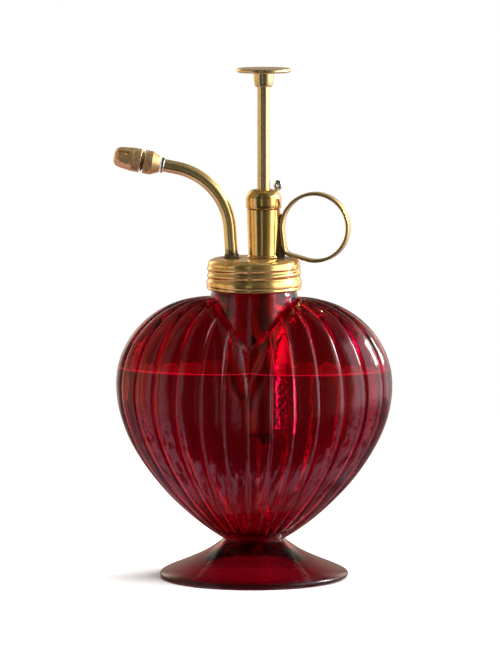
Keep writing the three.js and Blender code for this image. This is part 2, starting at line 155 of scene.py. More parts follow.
def eased(profile, radius, closed=False, steps=4):
    """A profile with its corners rounded, each at most halfway along its sides."""
    out = []
    count = len(profile)
    for i, corner in enumerate(profile):
        if not closed and i in (0, count - 1):
            out.append(tuple(corner))
            continue
        p = np.array(corner, float)
        before, after = np.array(profile[i - 1], float), np.array(profile[(i + 1) % count], float)
        lengths = [np.linalg.norm(before - p), np.linalg.norm(after - p)]
        a = p + (before - p) / lengths[0] * min(radius, 0.45 * lengths[0])
        b = p + (after - p) / lengths[1] * min(radius, 0.45 * lengths[1])
        for u in np.linspace(0, 1, steps + 1):
            out.append(tuple((1 - u) ** 2 * a + 2 * u * (1 - u) * p + u**2 * b))
    return out


def full_circle(count):
    """Evenly spaced angles once round."""
    return np.linspace(0, FULL_TURN, count, endpoint=False)


def spun(radii, levels, angles):
    """Rings round Z, one for each radius and level. A radius may vary with the angle."""
    rings = []
    for r, z in zip(radii, levels):
        rings.append(np.stack([r * np.cos(angles), r * np.sin(angles), 0 * angles + z], -1))
    return rings


def lathe(profile, segments=64, centre=(0, 0), relief=None):
    """A turned skin. A profile that starts and ends on the axis gets poles, and any other
    closes on itself. relief(radius, z, angle) may give another radius."""
    on_axis = profile[0][0] < 1e-6 and profile[-1][0] < 1e-6
    body = profile[1:-1] if on_axis else profile
    angles = full_circle(segments)
    rings = np.zeros((len(body), segments, 3))
    for j, (r, z) in enumerate(body):
        radius = r + (relief(r, z, angles) if relief else 0 * angles)
        rings[j, :, 0] = centre[0] + radius * np.cos(angles)
        rings[j, :, 1] = centre[1] + radius * np.sin(angles)
        rings[j, :, 2] = z
    if not on_axis:
        return skin(rings, looped=True)
    ends = [(centre[0], centre[1], profile[k][1]) for k in (0, -1)]
    return skin(rings, start=ends[0], end=ends[1])


def swept(path, radius, sides=32, bore=0.0):
    """A round wire or pipe along a path in an XZ plane."""
    path = np.asarray(path, float)
    tangents = np.gradient(path, axis=0)
    tangents /= np.linalg.norm(tangents, axis=1)[:, None]
    side = np.tile([0.0, 1.0, 0.0], (len(path), 1))
    up = np.cross(side, tangents)
    angles = full_circle(sides)

    def rings(r):
        return (
            path[:, None]
            + r * np.cos(angles)[None, :, None] * up[:, None]
            + r * np.sin(angles)[None, :, None] * side[:, None]
        )

    if bore > 0:
        return skin(np.concatenate([rings(radius), rings(bore)[::-1]]), looped=True)
    return skin(rings(radius), start=path[0], end=path[-1])


def smoothstep(x):
    """0 below 0, 1 above 1, and a smooth rise between."""
    x = np.clip(x, 0, 1)
    return x * x * (3 - 2 * x)


# ---------------------------------------------------------------- material helpers

STAIN = (0.05, 0.03, 0.022)  # brass browned by heat


class Nodes:
    """A node tree with short ways to add and join nodes."""

    def __init__(self, tree, keep=False):
        self.tree = tree
        if not keep:
            tree.nodes.clear()

    def add(self, kind, **values):
        """A node with its inputs and settings, each given by name."""
        node = self.tree.nodes.new("ShaderNode" + kind)
        for key, value in values.items():
            if key in node.inputs:
                self.set(node.inputs[key], value)
            elif hasattr(node, key):
                setattr(node, key, value)
            else:
                raise KeyError(f"{kind} has no {key}")
        return node

    def set(self, socket, value):
        if isinstance(value, bpy.types.NodeSocket):
            self.tree.links.new(value, socket)
        else:
            socket.default_value = value

    def math(self, operation, a, b=0.0, c=0.0):
        node = self.tree.nodes.new("ShaderNodeMath")
        node.operation = operation
        for socket, value in zip(node.inputs, (a, b, c)):
            self.set(socket, value)
        return node.outputs[0]

    def ramp(self, factor, stops, smooth=False):
        """A colour ramp through (position, colour or grey) stops."""
        node = self.tree.nodes.new("ShaderNodeValToRGB")
        ramp = node.color_ramp
        ramp.interpolation = "EASE" if smooth else "LINEAR"
        while len(ramp.elements) < len(stops):
            ramp.elements.new(0.5)
        for element, (at, colour) in zip(ramp.elements, stops):
            element.position = at
            if isinstance(colour, (int, float)):
                colour = (colour, colour, colour)
            element.color = (*colour, 1.0)
        self.set(node.inputs["Fac"], factor)
        return node.outputs["Color"]

    def mix(self, factor, a, b):
        node = self.tree.nodes.new("ShaderNodeMix")
        node.data_type = "RGBA"
        sockets = node.inputs[0], node.inputs[6], node.inputs[7]
        for socket, value in zip(sockets, (factor, a, b)):
            self.set(socket, value if not isinstance(value, tuple) else (*value[:3], 1.0))
        return node.outputs[2]

    def coordinates(self, scale=(1, 1, 1), turn=(0, 0, 0)):
        place = self.add("TexCoord").outputs["Object"]
        return self.add("Mapping", Vector=place, Scale=scale, Rotation=turn).outputs["Vector"]

    def noise(self, scale, detail=3.0, rough=0.5, stretch=(1, 1, 1), turn=(0, 0, 0)):
        vector = self.coordinates(stretch, turn)
        values = {"Vector": vector, "Scale": scale, "Detail": detail, "Roughness": rough}
        return self.add("TexNoise", **values).outputs["Fac"]


def new_material(name):
    """A material with an empty node tree."""
    material = bpy.data.materials.new(name)
    material.use_nodes = True
    return material, Nodes(material.node_tree)


def brass(
    name, base, tarnish, rough, cover, spots=(),
    grain=(1, 1, 0.05), scratch=0.08, dent=0.25, speckle=0.5, metallic=0.93,
):
    """Lacquered brass: a tarnish that gathers in patches and specks, the tarnish colour also
    mixed in where the surface is hollow, uneven gloss, fine scratches drawn out by grain, and
    dark stains round the given (place, radius) spots, in millimetres. cover is where the patches
    fade in and where they are full."""
    material, n = new_material(name)
    patches = n.ramp(n.noise(140, 6, 0.62), [(cover[0], 0), (cover[1], 1)])
    specks = n.ramp(n.noise(1500, 2, 0.6), [(0.62, 0), (0.74, 1)])
    # darker towards the tarnish colour where the surface is hollow, by pointiness
    hollow = n.ramp(n.add("NewGeometry").outputs["Pointiness"], [(0.42, 1), (0.5, 0)])
    darkening = n.math("MAXIMUM", patches, n.math("MULTIPLY", specks, speckle))
    darkening = n.math("MAXIMUM", darkening, n.math("MULTIPLY", hollow, 0.75))
    colour = n.mix(darkening, base, tarnish)
    for place, radius in spots:
        away = n.add("VectorMath", operation="DISTANCE")
        n.set(away.inputs[0], n.coordinates())
        away.inputs[1].default_value = Vector(place) * MM
        ragged = n.math("ADD", n.noise(420, 4), -0.5)
        distance = n.math("MULTIPLY_ADD", ragged, radius * MM * 0.9, away.outputs["Value"])
        stain = n.math("DIVIDE", distance, radius * MM)
        colour = n.mix(n.ramp(stain, [(0.55, 1), (1.0, 0)]), colour, STAIN)
    gloss = n.math("MULTIPLY_ADD", n.noise(90, 5, 0.6), rough[1] - rough[0], rough[0])
    gloss = n.math("ADD", gloss, n.math("MULTIPLY", darkening, 0.16))
    scratches = n.noise(2600, 2, 0.5, grain)
    dents = n.noise(230, 2, 0.5)
    height = n.math("ADD", n.math("MULTIPLY", scratches, scratch), n.math("MULTIPLY", dents, dent))
    bump = n.add("Bump", Strength=0.35, Distance=0.0004, Height=height)
    values = {"Base Color": colour, "Normal": bump.outputs["Normal"]}
    shader = n.add("BsdfPrincipled", Metallic=metallic, Roughness=gloss, **values)
    n.add("OutputMaterial", Surface=shader.outputs[0])
    return material


def metal(name, base, dark, rough):
    """A plain bright metal, darker and duller where it is worn."""
    material, n = new_material(name)
    worn = n.ramp(n.noise(400, 4), [(0.42, 0), (0.72, 1)])
    gloss = n.math("MULTIPLY_ADD", n.noise(700, 3), rough[1] - rough[0], rough[0])
    bump = n.add("Bump", Strength=0.3, Distance=0.0002, Height=n.noise(900, 3))
    values = {"Base Color": n.mix(worn, base, dark), "Normal": bump.outputs["Normal"]}
    shader = n.add("BsdfPrincipled", Metallic=1.0, Roughness=gloss, **values)
    n.add("OutputMaterial", Surface=shader.outputs[0])
    return material


def rubber(name, dark, pale):
    """A dull, finely grained seal."""
    material, n = new_material(name)
    grain = n.noise(2500, 3)
    colour = n.mix(grain, dark, pale)
    bump = n.add("Bump", Strength=0.4, Distance=0.0001, Height=grain)
    values = {"Base Color": colour, "Normal": bump.outputs["Normal"], "Roughness": 0.72}
    shader = n.add("BsdfPrincipled", **values)
    n.add("OutputMaterial", Surface=shader.outputs[0])
    return material


def clear(
    name, tint, ior, rough, absorb=None, density=0.0, ripple=0.0, ripple_scale=110.0, calm_below=None,
    ground_below=None,
):
    """A clear body. Its colour comes from the tint of each surface and from the depth of
    material that light passes through. Ripples and seeds mark the surface, which is calm
    below one height and ground dull below another, in metres."""
    material, n = new_material(name)
    values = {"Base Color": (*tint, 1.0), "Roughness": rough, "IOR": ior, "Transmission Weight": 1.0}
    if ripple:
        slow = n.noise(ripple_scale, 3, 0.55, (1, 1, 0.6))
        seeds = n.ramp(n.noise(1500, 1, 0.4), [(0.68, 0), (0.76, 1)])
        height = n.math("ADD", slow, n.math("MULTIPLY", seeds, 0.22))
        if calm_below:
            z = n.add("SeparateXYZ", Vector=n.coordinates()).outputs["Z"]
            height = n.math("MULTIPLY", height, n.ramp(z, [(0.7 * calm_below, 0.12), (calm_below, 1)]))
        bump = n.add("Bump", Strength=ripple, Distance=0.001, Height=height)
        values["Normal"] = bump.outputs["Normal"]
    if ground_below:
        z = n.add("SeparateXYZ", Vector=n.coordinates()).outputs["Z"]
        ragged = n.math("MULTIPLY_ADD", n.noise(900, 3), 0.0016, n.math("SUBTRACT", z, 0.0008))
        values["Roughness"] = n.ramp(ragged, [(0.8 * ground_below, 0.45), (1.2 * ground_below, rough)])
    shader = n.add("BsdfPrincipled", **values)
    output = n.add("OutputMaterial", Surface=shader.outputs[0])
    if absorb:
        volume = n.add("VolumeAbsorption", Color=(*absorb, 1.0), Density=density)
        n.set(output.inputs["Volume"], volume.outputs[0])
    return material


def paint_liquid_glow(material, level):
    """Painted light on a liquid at the given level, in metres: emission paints a thin bright
    line along its front edge, and a soft glow over the two sides of the surface."""
    n = Nodes(material.node_tree, keep=True)
    x, y, z = n.add("SeparateXYZ", Vector=n.coordinates()).outputs
    across = n.math("ABSOLUTE", x)
    at_level = n.math("LESS_THAN", n.math("ABSOLUTE", n.math("SUBTRACT", z, level)), 0.00015)
    in_front = n.math("MULTIPLY", n.math("LESS_THAN", y, 0.004), n.math("LESS_THAN", across, 0.05))
    edge = n.math("MULTIPLY", n.math("MULTIPLY", at_level, in_front), 0.5)
    on_top = n.math("GREATER_THAN", z, level - 0.0007)
    sides = n.ramp(across, [(0.014, 0), (0.034, 0.2)], True)
    shader = next(node for node in n.tree.nodes if node.type == "BSDF_PRINCIPLED")
    # painted glow: the liquid emits this red light, though it is no lamp
    shader.inputs["Emission Color"].default_value = (1.0, 0.05, 0.1, 1.0)
    n.set(shader.inputs["Emission Strength"], n.math("MAXIMUM", edge, n.math("MULTIPLY", on_top, sides)))


# ---------------------------------------------------------------- materials

ruby = clear(
    "ruby_glass", (0.66, 0.013, 0.16), ior=1.5, rough=0.01, absorb=(0.94, 0.35, 0.78), density=850.0,
    ripple=0.17, ripple_scale=190.0, calm_below=0.02, ground_below=0.002,
)
water_look = clear("water", (1.0, 1.0, 1.0), ior=1.33, rough=0.0, absorb=(0.5, 0.75, 0.85), density=2.0)
# painted light: the water's surface emits a bright line and a soft red glow
paint_liquid_glow(water_look, (WATER_Z + CREEP - 0.2) * MM)
tube_look = clear("clear_tube", (0.93, 0.95, 0.93), ior=1.45, rough=0.12, ripple=0.1)

# Heat has stained the brass round each soldered joint.
SPOUT_FOOT = (SPOUT_X, 0, LID_TOP)
RING_FOOT = (SPOUT_X + 20.2, 0, LID_TOP + 1)
DARK_TARNISH = (0.34, 0.19, 0.05)
EVEN = (1, 1, 1)

lid_brass = brass(
    "lid_brass", (1.0, 0.66, 0.23), (0.4, 0.23, 0.07), (0.08, 0.24), (0.53, 0.76),
    [(SPOUT_FOOT, 5.5), (RING_FOOT, 7)], grain=(0.05, 0.05, 1), dent=0.3, metallic=0.88,
)
barrel_brass = brass(
    "barrel_brass", (0.84, 0.57, 0.19), DARK_TARNISH, (0.08, 0.2), (0.62, 0.85), [((11.6, 0, 136), 5)]
)
rod_brass = brass("rod_brass", (0.88, 0.68, 0.34), (0.4, 0.27, 0.1), (0.16, 0.3), (0.6, 0.82))
ring_brass = brass(
    "ring_brass", (0.95, 0.7, 0.3), DARK_TARNISH, (0.14, 0.28), (0.62, 0.85), [((11.5, 0, 137), 4)],
    grain=EVEN, scratch=0.03, dent=0.12, speckle=0.2,
)
spout_brass = brass(
    "spout_brass", (0.95, 0.72, 0.3), (0.42, 0.28, 0.1), (0.16, 0.3), (0.6, 0.85), [(SPOUT_FOOT, 5)]
)
bronze = brass(
    "nozzle_bronze", (0.92, 0.62, 0.29), (0.58, 0.36, 0.16), (0.36, 0.46), (0.55, 0.85),
    grain=EVEN, scratch=0.01, dent=0.05, speckle=0.12, metallic=0.9,
)
inner_brass = brass("inner_brass", (0.5, 0.34, 0.15), (0.16, 0.09, 0.04), (0.25, 0.45), (0.4, 0.7))
patina = brass("patina", (0.42, 0.31, 0.22), (0.09, 0.055, 0.04), (0.3, 0.5), (0.4, 0.7))
tube_brass = brass("tube_brass", (0.95, 0.66, 0.3), (0.6, 0.34, 0.12), (0.3, 0.5), (0.5, 0.8))
silver = metal("silver_solder", (0.86, 0.84, 0.8), (0.4, 0.37, 0.33), (0.12, 0.34))
chrome = metal("chrome", (0.95, 0.95, 0.96), (0.72, 0.72, 0.74), (0.12, 0.24))
steel = metal("steel", (0.8, 0.8, 0.82), (0.42, 0.41, 0.42), (0.04, 0.14))
black_rubber = rubber("black_rubber", (0.018, 0.017, 0.017), (0.045, 0.042, 0.04))
brown_fibre = rubber("brown_fibre", (0.07, 0.04, 0.022), (0.14, 0.085, 0.045))


# ---------------------------------------------------------------- the heart's surface

# Bezier handles of the lower outline, from the widest level down to the waist, as the side
# and the front show it.
SIDE = [(HALF_WIDTH, 81.3), (HALF_WIDTH, 54.2), (33.2, 28.2), (WAIST_RADIUS, WAIST_Z)]
FRONT = [(HALF_DEPTH, 72.0), (HALF_DEPTH, 48.0), (24.5, 26.0), (WAIST_RADIUS, WAIST_Z)]


def bezier(points, u):
    weights = ((1 - u) ** 3, 3 * u * (1 - u) ** 2, 3 * u**2 * (1 - u), u**3)
    return sum(w * p for w, p in zip(weights, points))


def lower_handles(t):
    """The lower outline's four handles at oval angle t."""
    out = []
    for (width, z), (depth, front_z) in zip(SIDE, FRONT):
        level = z + (front_z - z) * np.sin(t) ** 2
        out.append(np.stack([width * np.cos(t), depth * np.sin(t), level], -1))
    return out


def upper_handles(t):
    """The four handles from the widest level up to the neck, which is lowest at the cleft."""
    widest = lower_handles(t)[0]
    across = 1 - (1 - np.abs(np.cos(t))) ** 2.5
    x = NECK_RADIUS * across * np.sign(np.cos(t))
    y = NECK_RADIUS * np.sqrt(np.maximum(0, 1 - across**2)) * np.sign(np.sin(t))
    drop = CLEFT * np.maximum(0, 1 - np.hypot(across, 0.08)) ** 1.2
    neck = np.stack([x, y, CREST_Z - drop], -1)
    outward = widest - neck
    outward[..., 2] = 0
    reach = 0.583 * np.linalg.norm(outward, axis=-1)
    outward = outward / np.linalg.norm(outward, axis=-1)[..., None] * reach[..., None]
    outward[..., 2] = -reach * np.tan(CLEFT_SLOPE * (1 - across))
    arriving = widest.copy()
    arriving[..., 2] += 0.548 * (neck[..., 2] - widest[..., 2])
    return [widest, arriving, neck + outward, neck]


def heart_point(t, s):
    """A point on the plain heart: s runs from -1 at the waist to 1 at the neck."""
    return bezier(lower_handles(t), -s) if s < 0 else bezier(upper_handles(t), s)


def heart_normal(t, s):
    d = 1e-3
    s = min(max(s, -1 + d), 1 - d)
    around = heart_point(t + d, s) - heart_point(t - d, s)
    up = heart_point(t, s + d) - heart_point(t, s - d)
    normal = np.cross(around, up)
    return normal / np.linalg.norm(normal, axis=-1)[..., None]


def even_angles(shares):
    """Oval angles at the given shares of the widest level's outline."""
    fine = np.linspace(0, FULL_TURN, 8001)
    middle = (fine[1:] + fine[:-1]) / 2
    speed = np.hypot(HALF_WIDTH * np.sin(middle), HALF_DEPTH * np.cos(middle))
    lengths = np.concatenate([[0], np.cumsum(speed)])
    return np.interp(shares, lengths / lengths[-1], fine)


# Columns crowd at the grooves, where the glass turns sharply.
FLUTE_STEPS = [0, 0.05, 0.1, 0.16, 0.24, 0.34, 0.46, 0.6, 0.74, 0.88]
HALF_FLUTE = FLUTE_STEPS + [2 - v for v in reversed(FLUTE_STEPS[1:])] + [1.0]
IN_FLUTE = np.array(sorted(HALF_FLUTE))  # 0 to 2 is one flute, with a groove at each end
SHARES = np.concatenate([(k + IN_FLUTE / 2) / FLUTES for k in range(FLUTES)])
ANGLES = even_angles(SHARES)
FROM_GROOVE = np.tile(np.minimum(IN_FLUTE, 2 - IN_FLUTE), FLUTES)
UNEVEN = np.random.default_rng(7).uniform(0.82, 1.15, FLUTES)  # depth of each flute


def groove_inset(s):
    """How deep the flutes lie below the plain heart: a crown across each flute, and a sharp
    cut between two flutes that is wider and shallower on the back of the heart."""
    behind = smoothstep((np.sin(ANGLES) - 0.05) / 0.3)
    crown = 0.3 * (1 - FROM_GROOVE) ** 2
    cut = (0.52 - 0.3 * behind) * np.exp(-((FROM_GROOVE / (0.16 + 0.2 * behind)) ** 2))
    each = np.repeat(UNEVEN, len(IN_FLUTE))
    each = np.where(FROM_GROOVE < 1e-9, 1.0, each)
    narrow = 1 - 0.55 * smoothstep((-s - 0.45) / 0.55)
    return FLUTE_DEPTH * (crown + cut) * (1 - abs(s) ** 8) * narrow * each


def wavy(points, amount, size):
    """Slow unevenness of blown glass, along the normals."""
    flat = points.reshape(-1, 3)
    values = [noise.noise(Vector((x / size, y / size, z / (1.7 * size)))) for x, y, z in flat]
    return amount * np.array(values).reshape(points.shape[:-1])


def thread_wave(z, angle):
    """The rolled thread, which the glass and the lid share."""
    into = np.minimum(z - THREAD_FROM, THREAD_TO - z)
    return smoothstep(into + 0.5) * THREAD_HEIGHT * np.cos(FULL_TURN * z / PITCH - angle)


def bottle_mesh():
    """The glass, from the foot's underside out, up the heart and the neck, over the lip and
    down the inside."""
    foot = eased([
        (4, 12.6), (8, 11.2), (14, 9.0), (20, 6.6), (27, 3.9), (33, 1.4), (36.4, 0.0), (38.3, 0.0),
        (39.74, 0.9), (39.6, 2.3), (36.4, 4.0), (30, 6.6), (24, 9.2), (19, 11.8), (15.6, 14.2),
        (14.0, 15.4), (13.4, 16.0),
    ], 2.5)
    rows = spun(*zip(*foot), ANGLES)

    # the heart, with more rows towards the waist and the neck
    lower = -1 + np.linspace(0, 1, 90) ** 0.9
    upper = 1 - (1 - np.linspace(0, 1, 84)[1:]) ** 1.6
    for s in np.concatenate([lower, upper]):
        points, normals = heart_point(ANGLES, s), heart_normal(ANGLES, s)
        fade = 1 - abs(s) ** 6
        inset = groove_inset(s) + (0.1 + wavy(points, 0.1, 10.0) + wavy(points, 0.025, 3.5)) * fade
        rows.append(points - normals * np.maximum(inset, 0.0)[:, None])

    # the neck, from where it rises out of the cleft, and its thread
    meeting = rows[-1]
    around = np.arctan2(meeting[:, 1], meeting[:, 0])
    for rise in (0.03, 0.1, 0.22, 0.4, 0.6, 0.8, 1.0):
        z = meeting[:, 2] + (CREST_Z + 0.9 - meeting[:, 2]) * rise
        rows += spun([NECK_RADIUS - 0.02 * rise], [z], around)
    throat = [(17.9, 120.4), (17.6, 121.4), (THROAT_RADIUS, 122.6), (THROAT_RADIUS, 125.2)]
    rows += spun(*zip(*throat), around)
    for z in np.linspace(THREAD_FROM - 0.4, LIP_Z - 0.7, 22):
        rows += spun([THREAD_RADIUS + thread_wave(z, around + TURN)], [z], around)

    # the lip and the inside
    bore_z = 131.0
    lip = [(18.1, 131.6), (17.5, LIP_Z), (15.6, LIP_Z), (15.0, 131.6), (BORE_RADIUS, bore_z)]
    rows += spun(*zip(*lip), around)
    crown = heart_point(ANGLES, 1.0) - heart_normal(ANGLES, 1.0) * (WALL + FLUTE_DEPTH)
    for share in (0.35, 0.7, 0.92):
        rows += spun([BORE_RADIUS], [bore_z + (crown[:, 2] + 1.2 - bore_z) * share], around)
    for s in np.concatenate([np.linspace(1, 0, 15), np.linspace(0, -0.9, 20)[1:]]):
        points, normals = heart_point(ANGLES, s), heart_normal(ANGLES, s)
        depth = WALL + (1 - FOLLOW) * FLUTE_DEPTH + FOLLOW * groove_inset(s) - wavy(points, 0.03, 16.0)
        rows.append(points - normals * depth[:, None])
    return skin(rows, start=(0, 0, 13.6), end=(0, 0, 21.5))


def water_mesh():
    """The liquid, whose skin lies just inside the glass so that no air shows between them."""
    angles = even_angles(np.linspace(0, 1, 140, endpoint=False))
    inset = WALL + (1 - FOLLOW) * FLUTE_DEPTH - 0.15
    levels = np.linspace(-0.9, 0.9, 52)
    rows = np.array([heart_point(angles, s) - heart_normal(angles, s) * inset for s in levels])

    # the edge, where each column of the glass passes the top of the creep
    edge_z = WATER_Z + CREEP
    edge = []
    for i in range(len(angles)):
        column = rows[:, i]
        k = int(np.searchsorted(column[:, 2], edge_z))
        share = (edge_z - column[k - 1, 2]) / (column[k, 2] - column[k - 1, 2])
        edge.append(column[k - 1] + (column[k] - column[k - 1]) * share)
    edge = np.array(edge)

    rings = []
    for row in rows:
        above = row[:, 2:] > edge_z - 0.3
        if above.all():
            break
        rings.append(np.where(above, edge, row))
    rings.append(edge)

    # the surface sinks from its edge to the level
    outward = edge[:, :2] / np.linalg.norm(edge[:, :2], axis=1)[:, None]
    for inward in (0.1, 0.25, 0.5, 0.9, 1.5, 2.5):
        ring = edge.copy()
        ring[:, :2] -= outward * inward
        ring[:, 2] = WATER_Z + CREEP * math.exp(-inward / 0.4)
        rings.append(ring)
    return skin(rings, start=(0, 0, 21.6), end=(0, 0, WATER_Z))


turned = Matrix.Rotation(TURN, 4, "Z")
bottle = mesh_object("heart_bottle", *placed(bottle_mesh(), turned), ruby, 60)
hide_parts("bottle")
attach(bottle, "bottle")

water = mesh_object("water_fill", *placed(water_mesh(), turned), water_look, 50)
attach(water, "bottle")


# ---------------------------------------------------------------- the lid


def lid_mesh():
    """One rolled sheet, from its underside down the inside, round the hem and up the outside."""
    angles = full_circle(216)
    threads = np.linspace(THREAD_FROM, THREAD_TO, 34)
    inside = THREAD_RADIUS + THREAD_SLACK
    rows = spun((13, 16.6, 17.8, 18.3), (LID_UNDER, LID_UNDER, 132.9, 132.1), angles)
    for z in threads[::-1]:
        rows += spun([inside + thread_wave(z, angles)], [z], angles)
    rows += spun((18.95, 19.2, 19, 18.9), (125.4, 124.3, 122.9, 122), angles)

    bead = [(18.95, 121.75), (19.2, 121.7), (19.55, 121.8), (19.78, 122.1), (19.82, 122.5), (19.7, 122.85)]
    band = [
        (19.62, 123.0), (19.75, 123.2), (19.92, 123.6), (20.0, 124.3), (19.98, 124.9), (19.86, 125.35),
        (19.66, 125.7),
    ]
    rows += spun(*zip(*bead, *band), angles)

    # the outside, with a dent where the rolled thread starts
    dent_z, dent_depth, dent_height, dent_length = 131.2, 0.45, 0.45, 0.5
    past_start = (angles + 0.42 + math.pi) % FULL_TURN - math.pi
    dent = smoothstep((past_start + 0.02) / 0.05) * smoothstep((dent_length - past_start) / dent_length)
    for z in threads:
        wave = thread_wave(z, angles) * 1.15
        depth = dent_depth * np.exp(-(((z - dent_z) / dent_height) ** 2))
        rows += spun([inside + LID_SHEET + wave - depth * dent], [z], angles)
    shoulder = [(19.3, 131.9), (19.3, 132.9), (18.6, 134.0), (16.9, 134.75), (14.4, LID_TOP), (10, LID_TOP)]
    rows += spun(*zip(*eased(shoulder, 1.4)), angles)

    # the opening that the pump stands in
    opening = spun([SLEEVE_BORE] * 2, [LID_TOP, LID_UNDER], angles)
    rows += [row + [PUMP_X, 0, 0] for row in opening]
    return skin(rows, looped=True)


lid = mesh_object("lid_shell", *lid_mesh(), lid_brass, 50)
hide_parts("screw_lid")
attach(lid, "head")


# ---------------------------------------------------------------- the pump


def head_piece(name, part, material, node=None, body="head", sharp=40.0):
    """A piece from a (points, faces) skin that rides a body and may replace a CAD node."""
    piece = mesh_object(name, *part, material, sharp)
    if node:
        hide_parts(node)
    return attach(piece, body)


barrel_profile = eased([
    (SLEEVE_BORE, LID_TOP + GAP), (6.9, LID_TOP + GAP), (6.9, LID_TOP + 0.75), (6.38, LID_TOP + 1.2),
    (6.42, 140), (6.72, 148), (7.0, BARREL_TOP), (SLEEVE_BORE, BARREL_TOP),
], 0.35, closed=True)
head_piece("pump_barrel", lathe(barrel_profile, 96, AT_PUMP), barrel_brass, "pump_sleeve")

dome = [(3.3 + 4.15 * math.cos(a), 159.6 + 4.3 * math.sin(a)) for a in np.linspace(0, math.pi / 2, 12)]
cap_profile = [
    (7.45, 156.2), (7.45, 158), *dome, (ROD_BORE, 163.75), (ROD_BORE, 158.9), (5.4, 158.9), (5.4, 155.9),
    (7.2, 155.9),
]
head_piece("barrel_cap", lathe(cap_profile, 96, AT_PUMP), barrel_brass, "pump_cap")


def round_section(centre, radius, outward, along, sides):
    """A round wire's section, in the plane of two directions."""
    return centre + radius * (np.cos(sides)[:, None] * outward + np.sin(sides)[:, None] * along)


def lock_pin_mesh():
    """A thick wire bent into an upright eye, drawn out a little downward, on a thin stem."""
    x, y, z = PUMP_X + 6.0, 1.8, 165.45
    half_width, rise, fall, wire = 0.95, 1.15, 1.5, 0.9
    sides = full_circle(16)
    rings = []
    for a in full_circle(48):
        outward = np.array([math.sin(a), 0, math.cos(a)])
        reach = rise if math.cos(a) > 0 else fall
        centre = np.array([x + half_width * math.sin(a), y, z + reach * math.cos(a)])
        rings.append(round_section(centre, wire, outward, [0, 1, 0], sides))
    stem = [(x, y, level) for level in np.linspace(160.9, 164.1, 8)]
    return joined(skin(rings, looped=True), swept(stem, 0.5, 16))


head_piece("lock_pin", lock_pin_mesh(), chrome, "cap_lock_pin")

tube_profile = eased([
    (PUMP_BORE, PUMP_FOOT), (PUMP_OUTER, PUMP_FOOT), (PUMP_OUTER, BARREL_TOP), (PUMP_BORE, BARREL_TOP),
], 0.2, True)
head_piece("pump_tube", lathe(tube_profile, 64, AT_PUMP), tube_brass, "pump_cylinder")
valve_profile = eased([
    (0.8, 58), (1.5, 58), (1.5, 61), (PUMP_OUTER, 61), (PUMP_OUTER, 62), (3.7, 62), (3.7, 67.4), (1.7, 67.4),
    (1.7, 64.9), (0.8, 63.8),
], 0.2, True)
head_piece("foot_valve", lathe(valve_profile, 48, AT_PUMP), inner_brass, "valve_body")
dip_profile = eased([(1.8, 24), (2.5, 24), (2.5, 60.7), (1.8, 60.7)], 0.2, True)
head_piece("dip_pipe", lathe(dip_profile, 40, AT_PUMP), tube_look, "dip_tube")


def spring_mesh():
    """A coil in the cylinder, from its seat to the piston."""
    turns, radius, wire = 12, 3.1, 0.35
    bottom, top = 69.3, 144.9
    sides = full_circle(8)
    rings = []
    for u in np.linspace(0, 1, turns * 20 + 1):
        a = FULL_TURN * turns * u
        outward = np.array([math.cos(a), math.sin(a), 0])
        centre = np.array([PUMP_X, 0, bottom + (top - bottom) * u]) + radius * outward
        rings.append(round_section(centre, wire, outward, [0, 0, 1], sides))
    return skin(rings, start=rings[0].mean(0), end=rings[-1].mean(0))


spring = mesh_object("pump_spring", *spring_mesh(), steel, 60)
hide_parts("return_spring")
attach(spring, "head")
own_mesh(spring)


# ---------------------------------------------------------------- the plunger

rod_profile = eased([
    (0, 146), (1.5, 146), (1.5, 151), (ROD_RADIUS, 151), (ROD_RADIUS, 212.4), (0, 212.4),
], 0.15)
ferrule_profile = eased([
    (ROD_BORE, 207.3), (3.2, 206.7), (3.75, 207.2), (4.0, 208.6), (4.15, 210.6), (4.25, 212.5),
    (ROD_BORE, 212.5),
], 0.3, True)
disc_profile = eased([
    (0, 212.8), (8.2, 212.8), (10.9, 212.78), (11.4, 213.35), (11.4, 213.95), (10.95, 214.6), (9.4, 214.5),
    (0, 214.35),
], 0.5)
for name, profile, segments, node in (
    ("plunger_stem", rod_profile, 64, "plunger_rod"),
    ("knob_collar", ferrule_profile, 64, "knob_ferrule"),
    ("thumb_plate", disc_profile, 96, "thumb_disc"),
):
    head_piece(name, lathe(profile, segments, AT_PUMP), rod_brass, node, "plunger")


# ---------------------------------------------------------------- the spout


def along(lean):
    """The direction of a stretch that leans from upright towards the nozzle."""
    return np.array([-math.sin(lean), 0, math.cos(lean)])


def spout_path():
    """The spout's centreline, from inside the neck to the nozzle."""
    lid_top = np.array([SPOUT_X, 0, LID_TOP])
    stem_top = lid_top + along(SPOUT_LEAN) * SPOUT_STEM
    centre = stem_top - SPOUT_BEND * np.array([math.cos(SPOUT_LEAN), 0, math.sin(SPOUT_LEAN)])
    points = [np.array([SPOUT_X, 0, z]) for z in np.linspace(SPOUT_START, LID_TOP - 1, 4)]
    points += [lid_top + along(SPOUT_LEAN) * d for d in np.linspace(0, SPOUT_STEM, 12)]
    for a in np.linspace(SPOUT_LEAN, SPOUT_NOSE, 64)[1:]:
        points.append(centre + SPOUT_BEND * np.array([math.cos(a), 0, math.sin(a)]))
    arc_end = points[-1]
    points += [arc_end + along(SPOUT_NOSE) * d for d in np.linspace(0, SPOUT_TAIL, 6)[1:]]
    return points


def lumpy(amount, size):
    """A relief that makes solder uneven."""

    def relief(r, z, angles):
        values = [noise.noise(Vector((math.cos(a) * size, math.sin(a) * size, z * 0.8))) for a in angles]
        return amount * np.array(values)

    return relief


SPOUT_PATH = spout_path()
spout_part = swept(SPOUT_PATH, SPOUT_RADIUS, 48, SPOUT_BORE)
head_piece("spout_pipe", spout_part, spout_brass, "spout_tube")

fillet_profile = eased([
    (3.0, 135.2), (4.0, 135.12), (3.5, 135.4), (3.15, 135.9), (3.02, 136.5), (2.9, 136.6),
], 0.3, True)
fillet_part = lathe(fillet_profile, 64, AT_SPOUT, lumpy(0.15, 2.0))
head_piece("spout_fillet", fillet_part, patina, "spout_solder")

